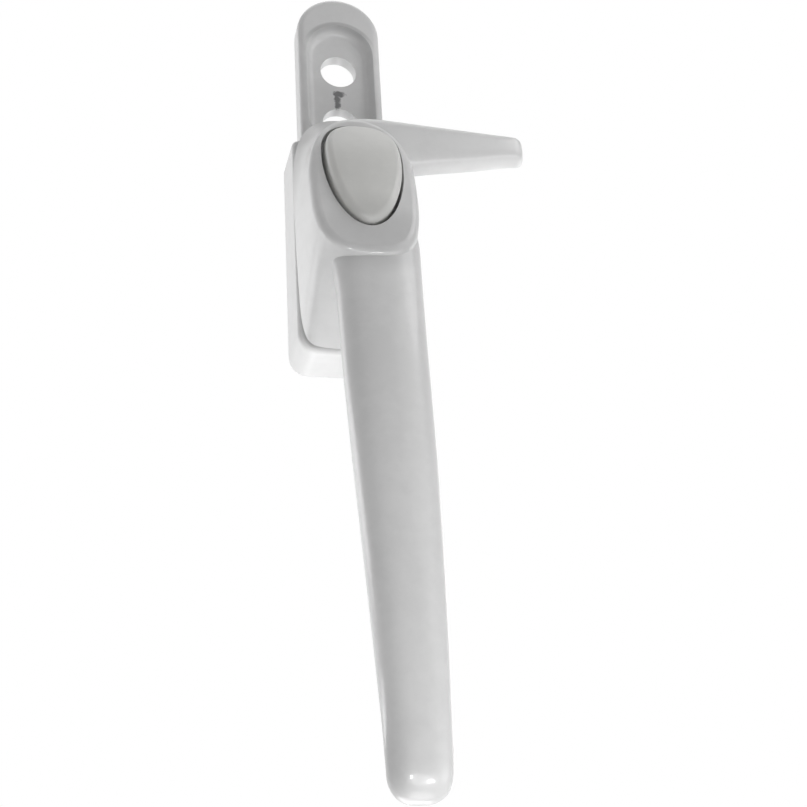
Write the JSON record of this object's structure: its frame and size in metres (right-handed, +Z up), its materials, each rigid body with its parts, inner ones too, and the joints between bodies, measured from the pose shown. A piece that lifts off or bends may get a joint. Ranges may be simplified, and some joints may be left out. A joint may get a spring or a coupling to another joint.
{
  "type": "window handle",
  "caption": "White cockspur window handle: stepped base plate with a dished screw recess, swept turning grip, egg-shaped push button and a side spur that hooks over a striker.",
  "frame": {"origin": "the pivot axis where it meets the back face of the base plate", "axes": "+Z up along the plate, +X towards the spur's tip, -Y out of the window frame into the room"},
  "size_m": [0.0404, 0.0349, 0.1517],
  "materials": {
    "plate_paint": "glossy white paint on a zinc casting",
    "lever_paint": "glossy white paint on a zinc casting",
    "button_plastic": "satin white",
    "steel": "bright turned or pressed steel",
    "spring_steel": "plain spring steel",
    "nylon": "natural nylon"
  },
  "bodies": {
    "base": {"base_plate": "plate_paint", "spindle": "steel", "thrust_washer": "nylon", "spring_washer": "spring_steel", "rear_washer": "steel", "retaining_ring": "spring_steel", "stop_pin": "steel"},
    "lever": {"lever": "lever_paint", "spindle_bush": "nylon", "button_spring": "spring_steel"},
    "button": {"push_button": "button_plastic", "locking_pin": "steel", "pin_clip": "spring_steel"}
  },
  "joints": [
    {"name": "lever_turn", "type": "hinge", "parent": "base", "child": "lever", "pos_m": [0, 0, 0], "axis": [0, 1, 0], "range_deg": [0, 90]},
    {"name": "button_press", "type": "slide", "parent": "lever", "child": "button", "axis": [0, 1, 0], "range_m": [0, 0.002], "stiffness_N_per_m": 600, "springref_m": -0.003, "deforming": ["button_spring"]}
  ]
}
